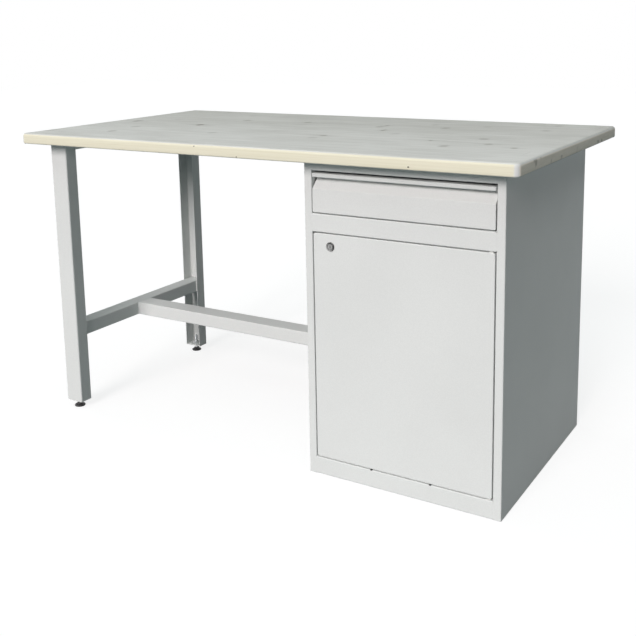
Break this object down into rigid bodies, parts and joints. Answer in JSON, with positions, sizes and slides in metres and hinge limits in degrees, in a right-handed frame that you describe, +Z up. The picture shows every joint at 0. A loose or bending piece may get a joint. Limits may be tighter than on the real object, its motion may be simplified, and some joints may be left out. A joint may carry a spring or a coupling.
{
  "type": "workbench with cabinet",
  "caption": "Workshop bench with a thick board top on a folded steel leg frame and a sheet-steel pedestal cabinet with a pull-lip drawer above a lockable hinged door.",
  "frame": {"origin": "on the floor under the middle of the worktop", "axes": "+X along the worktop towards the cabinet, +Y to the back, +Z up; the drawer and door face -Y"},
  "size_m": [1.5, 0.8, 0.85],
  "materials": {
    "board": "pale lacquered board, streaked along its length, cream front edge",
    "grey_paint": "light grey powder coat, fine texture, satin",
    "zinc": "bright zinc plate",
    "black_plastic": "matt black moulded plastic",
    "rubber": "dull black rubber",
    "nylon": "off-white moulded nylon",
    "lock_metal": "nickel-plated zinc casting"
  },
  "bodies": {
    "bench": {"worktop": "board", "front_leg": "grey_paint", "rear_leg": "grey_paint", "upper_rail": "grey_paint", "lower_rail": "grey_paint", "front_foot_plate": "grey_paint", "rear_foot_plate": "grey_paint", "front_foot_nut": "zinc", "rear_foot_nut": "zinc", "stretcher": "grey_paint", "stretcher_end_plate": "grey_paint", "cabinet_left_side": "grey_paint", "cabinet_right_side": "grey_paint", "cabinet_back": "grey_paint", "cabinet_floor": "grey_paint", "bottom_rail": "grey_paint", "mid_rail": "grey_paint", "top_rail": "grey_paint", "top_angle_left": "grey_paint", "top_angle_right": "grey_paint", "shelf": "grey_paint", "shelf_support_left": "grey_paint", "shelf_support_right": "grey_paint", "runner_support_left": "grey_paint", "runner_support_right": "grey_paint", "runner_outer_left": "zinc", "runner_outer_right": "zinc", "door_bush_top": "nylon", "door_bush_bottom": "nylon", "door_bumper_left": "rubber", "door_bumper_right": "rubber"},
    "drawer": {"drawer_front": "grey_paint", "drawer_box": "grey_paint", "runner_inner_left": "zinc", "runner_inner_right": "zinc"},
    "runner_middles": {"runner_middle_left": "zinc", "runner_middle_right": "zinc"},
    "cabinet_door": {"door": "grey_paint", "door_stiffener": "grey_paint", "door_pin_top": "zinc", "door_pin_bottom": "zinc", "lock_body": "lock_metal", "lock_nut": "zinc"},
    "lock": {"lock_plug": "lock_metal", "lock_cam": "zinc"},
    "front_foot": {"front_foot_stud": "zinc", "front_foot_pad": "black_plastic"},
    "rear_foot": {"rear_foot_stud": "zinc", "rear_foot_pad": "black_plastic"}
  },
  "joints": [
    {"name": "drawer_slide", "type": "slide", "parent": "bench", "child": "drawer", "axis": [0, -1, 0], "range_m": [0, 0.4]},
    {"name": "runner_middle_slide", "type": "slide", "parent": "bench", "child": "runner_middles", "axis": [0, -1, 0], "range_m": [0, 0.2]},
    {"name": "door_hinge", "type": "hinge", "parent": "bench", "child": "cabinet_door", "pos_m": [0.6665, -0.3295, 0.3428], "axis": [0, 0, 1], "range_deg": [0, 110]},
    {"name": "lock_turn", "type": "hinge", "parent": "cabinet_door", "child": "lock", "pos_m": [0.2525, -0.336, 0.6062], "axis": [0, 1, 0], "range_deg": [0, 90]},
    {"name": "front_foot_level", "type": "slide", "parent": "bench", "child": "front_foot", "axis": [0, 0, -1], "range_m": [-0.008, 0.012]},
    {"name": "rear_foot_level", "type": "slide", "parent": "bench", "child": "rear_foot", "axis": [0, 0, -1], "range_m": [-0.008, 0.012]}
  ],
  "couplings": [
    {"joint": "runner_middle_slide", "follows": "drawer_slide", "ratio": 0.5}
  ]
}
